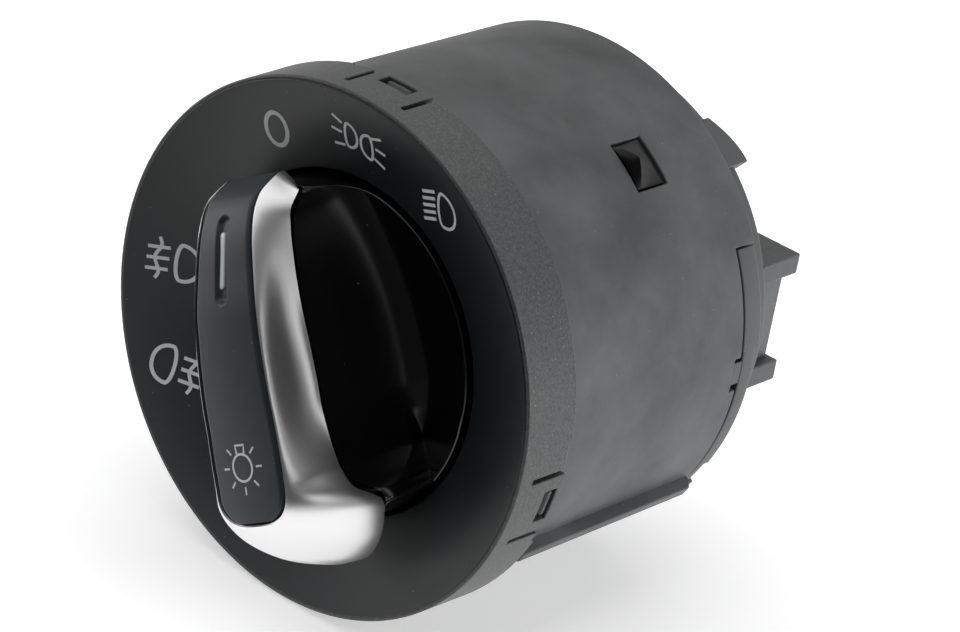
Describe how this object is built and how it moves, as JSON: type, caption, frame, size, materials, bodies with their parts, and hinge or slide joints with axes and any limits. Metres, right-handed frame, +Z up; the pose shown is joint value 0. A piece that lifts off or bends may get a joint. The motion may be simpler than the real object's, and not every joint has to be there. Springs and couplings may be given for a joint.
{
  "type": "headlight switch",
  "caption": "Round dashboard headlight switch with a rotary, push and pull knob, a funnel-shaped dial, a barrel with locking catches and a plug socket at the rear.",
  "frame": {"origin": "on the switch's axis, in the plane of the bezel ring's rear face, which meets the dashboard", "axes": "-Y out of the dashboard towards the driver, +Y into the dashboard, +Z up, +X to the right as the driver sees the dial"},
  "size_m": [0.0684, 0.0763, 0.0684],
  "materials": {
    "bezel_plastic": "grained, satin",
    "dial_plastic": "smooth satin with pale print",
    "barrel_plastic": "moulded matte",
    "cover_plastic": "moulded matte",
    "catch_plastic": "moulded, worn satin",
    "carrier_plastic": "moulded matte",
    "mechanism_plastic": "natural white, waxy",
    "knob_plastic": "high gloss",
    "trim_plating": "satin plated",
    "insert_coating": "soft-touch coating",
    "lens_plastic": "milky clear",
    "light_guide_plastic": "clear",
    "circuit_board": "lacquered",
    "terminal_metal": "tinned",
    "spring_steel": "bright drawn",
    "lamp_white": "moulded"
  },
  "bodies": {
    "housing": {"bezel_ring": "bezel_plastic", "dial_plate": "dial_plastic", "dial_light_guide": "light_guide_plastic", "barrel_housing": "barrel_plastic", "mechanism_carrier": "carrier_plastic", "rear_cover": "cover_plastic", "circuit_board": "circuit_board", "terminal_01": "terminal_metal", "terminal_02": "terminal_metal", "terminal_03": "terminal_metal", "terminal_04": "terminal_metal", "terminal_05": "terminal_metal", "terminal_06": "terminal_metal", "terminal_07": "terminal_metal", "terminal_08": "terminal_metal", "terminal_09": "terminal_metal", "terminal_10": "terminal_metal", "light_pipe_top": "light_guide_plastic", "light_pipe_side": "light_guide_plastic", "led_dial_top": "lamp_white", "led_dial_side": "lamp_white", "led_knob": "lamp_white", "detent_spring": "spring_steel", "catch_spring_right": "spring_steel", "catch_spring_left": "spring_steel"},
    "rotor": {"rotor_drum": "mechanism_plastic", "wiper_upper": "terminal_metal", "wiper_lower": "terminal_metal", "return_spring": "spring_steel"},
    "push_carriage": {"push_sleeve": "mechanism_plastic", "pull_detent_ring": "spring_steel"},
    "knob": {"knob_body": "knob_plastic", "knob_spindle": "carrier_plastic", "grip_trim": "trim_plating", "grip_insert": "insert_coating", "indicator_lens": "lens_plastic", "knob_light_pipe": "light_guide_plastic"},
    "catch_right": {"catch_right": "catch_plastic"},
    "catch_left": {"catch_left": "catch_plastic"}
  },
  "joints": [
    {"name": "knob_turn", "type": "hinge", "parent": "housing", "child": "rotor", "pos_m": [0, 0, 0], "axis": [0, 1, 0], "range_deg": [0, 60], "deforming": ["detent_spring"]},
    {"name": "knob_push", "type": "slide", "parent": "rotor", "child": "push_carriage", "axis": [0, 1, 0], "range_m": [0, 0.003], "stiffness_N_per_m": 900, "deforming": ["return_spring"]},
    {"name": "knob_pull", "type": "slide", "parent": "push_carriage", "child": "knob", "axis": [0, -1, 0], "range_m": [0, 0.007], "deforming": ["pull_detent_ring"]},
    {"name": "catch_right_slide", "type": "slide", "parent": "housing", "child": "catch_right", "axis": [-0.592, 0, -0.8059], "range_m": [0, 0.0028], "stiffness_N_per_m": 500, "deforming": ["catch_spring_right"]},
    {"name": "catch_left_slide", "type": "slide", "parent": "housing", "child": "catch_left", "axis": [0.592, 0, 0.8059], "range_m": [0, 0.0028], "stiffness_N_per_m": 500, "deforming": ["catch_spring_left"]}
  ]
}
